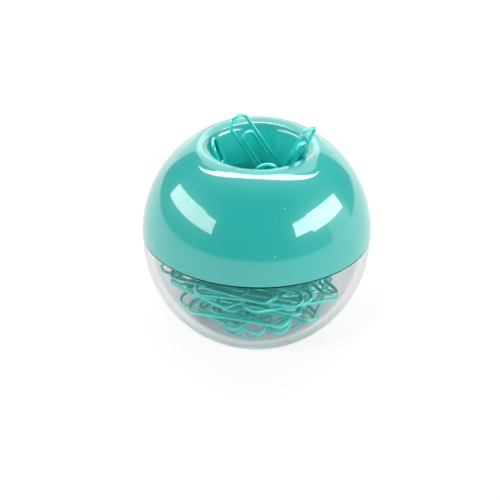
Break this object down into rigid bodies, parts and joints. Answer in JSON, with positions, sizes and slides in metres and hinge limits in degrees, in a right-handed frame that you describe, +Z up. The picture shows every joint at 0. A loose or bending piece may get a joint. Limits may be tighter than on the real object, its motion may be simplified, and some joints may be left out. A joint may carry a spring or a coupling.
{
  "type": "magnetic paper clip holder",
  "caption": "Ball-shaped desk holder: a clear bowl of paper clips under a lift-off cover whose funnel mouth holds clips upright on a hidden ring magnet.",
  "frame": {"origin": "centre of the flat base, on the surface that the holder stands on", "axes": "+Z up along the holder's axis, -Y towards the viewer of the picture, +X to that viewer's right"},
  "size_m": [0.06, 0.06, 0.065],
  "materials": {
    "cover_plastic": "glossy opaque turquoise polystyrene",
    "clear_plastic": "clear polished polystyrene",
    "clip_coating": "steel wire with a smooth turquoise vinyl coating",
    "ferrite": "dark grey sintered ferrite",
    "retainer_plastic": "plain light grey moulding"
  },
  "bodies": {
    "bowl_body": {"bowl": "clear_plastic", "bowl_clip_01": "clip_coating", "bowl_clip_02": "clip_coating", "bowl_clip_03": "clip_coating", "bowl_clip_04": "clip_coating", "bowl_clip_05": "clip_coating", "bowl_clip_06": "clip_coating", "bowl_clip_07": "clip_coating", "bowl_clip_08": "clip_coating", "bowl_clip_09": "clip_coating", "bowl_clip_10": "clip_coating", "bowl_clip_11": "clip_coating", "bowl_clip_12": "clip_coating", "bowl_clip_13": "clip_coating", "bowl_clip_14": "clip_coating", "bowl_clip_15": "clip_coating", "bowl_clip_16": "clip_coating", "bowl_clip_17": "clip_coating", "bowl_clip_18": "clip_coating", "bowl_clip_19": "clip_coating", "bowl_clip_20": "clip_coating", "bowl_clip_21": "clip_coating", "bowl_clip_22": "clip_coating", "bowl_clip_23": "clip_coating", "bowl_clip_24": "clip_coating", "bowl_clip_25": "clip_coating", "bowl_clip_26": "clip_coating", "bowl_clip_27": "clip_coating", "bowl_clip_28": "clip_coating", "bowl_clip_29": "clip_coating", "bowl_clip_30": "clip_coating", "bowl_clip_31": "clip_coating", "bowl_clip_32": "clip_coating", "bowl_clip_33": "clip_coating", "bowl_clip_34": "clip_coating", "bowl_clip_35": "clip_coating", "bowl_clip_36": "clip_coating", "bowl_clip_37": "clip_coating", "bowl_clip_38": "clip_coating", "bowl_clip_39": "clip_coating", "bowl_clip_40": "clip_coating", "bowl_clip_41": "clip_coating", "bowl_clip_42": "clip_coating", "bowl_clip_43": "clip_coating", "bowl_clip_44": "clip_coating", "bowl_clip_45": "clip_coating", "bowl_clip_46": "clip_coating", "bowl_clip_47": "clip_coating", "bowl_clip_48": "clip_coating"},
    "cover_body": {"dome_cover": "cover_plastic", "magnet_ring": "ferrite", "magnet_retainer": "retainer_plastic"},
    "mouth_clip_1_body": {"mouth_clip_1": "clip_coating"},
    "mouth_clip_2_body": {"mouth_clip_2": "clip_coating"},
    "mouth_clip_3_body": {"mouth_clip_3": "clip_coating"},
    "mouth_clip_4_body": {"mouth_clip_4": "clip_coating"}
  },
  "joints": [
    {"name": "cover_lift", "type": "slide", "parent": "bowl_body", "child": "cover_body", "axis": [0, 0, 1], "range_m": [0, 0.06]},
    {"name": "mouth_clip_1_pull", "type": "slide", "parent": "cover_body", "child": "mouth_clip_1_body", "axis": [-0.4315, -0.3371, 0.8368], "range_m": [0, 0.03]},
    {"name": "mouth_clip_2_pull", "type": "slide", "parent": "cover_body", "child": "mouth_clip_2_body", "axis": [0.2713, -0.4342, 0.859], "range_m": [0, 0.03]},
    {"name": "mouth_clip_3_pull", "type": "slide", "parent": "cover_body", "child": "mouth_clip_3_body", "axis": [0.0656, -0.4664, 0.8821], "range_m": [0, 0.03]},
    {"name": "mouth_clip_4_pull", "type": "slide", "parent": "cover_body", "child": "mouth_clip_4_body", "axis": [-0.3588, 0.0894, 0.9291], "range_m": [0, 0.03]}
  ]
}
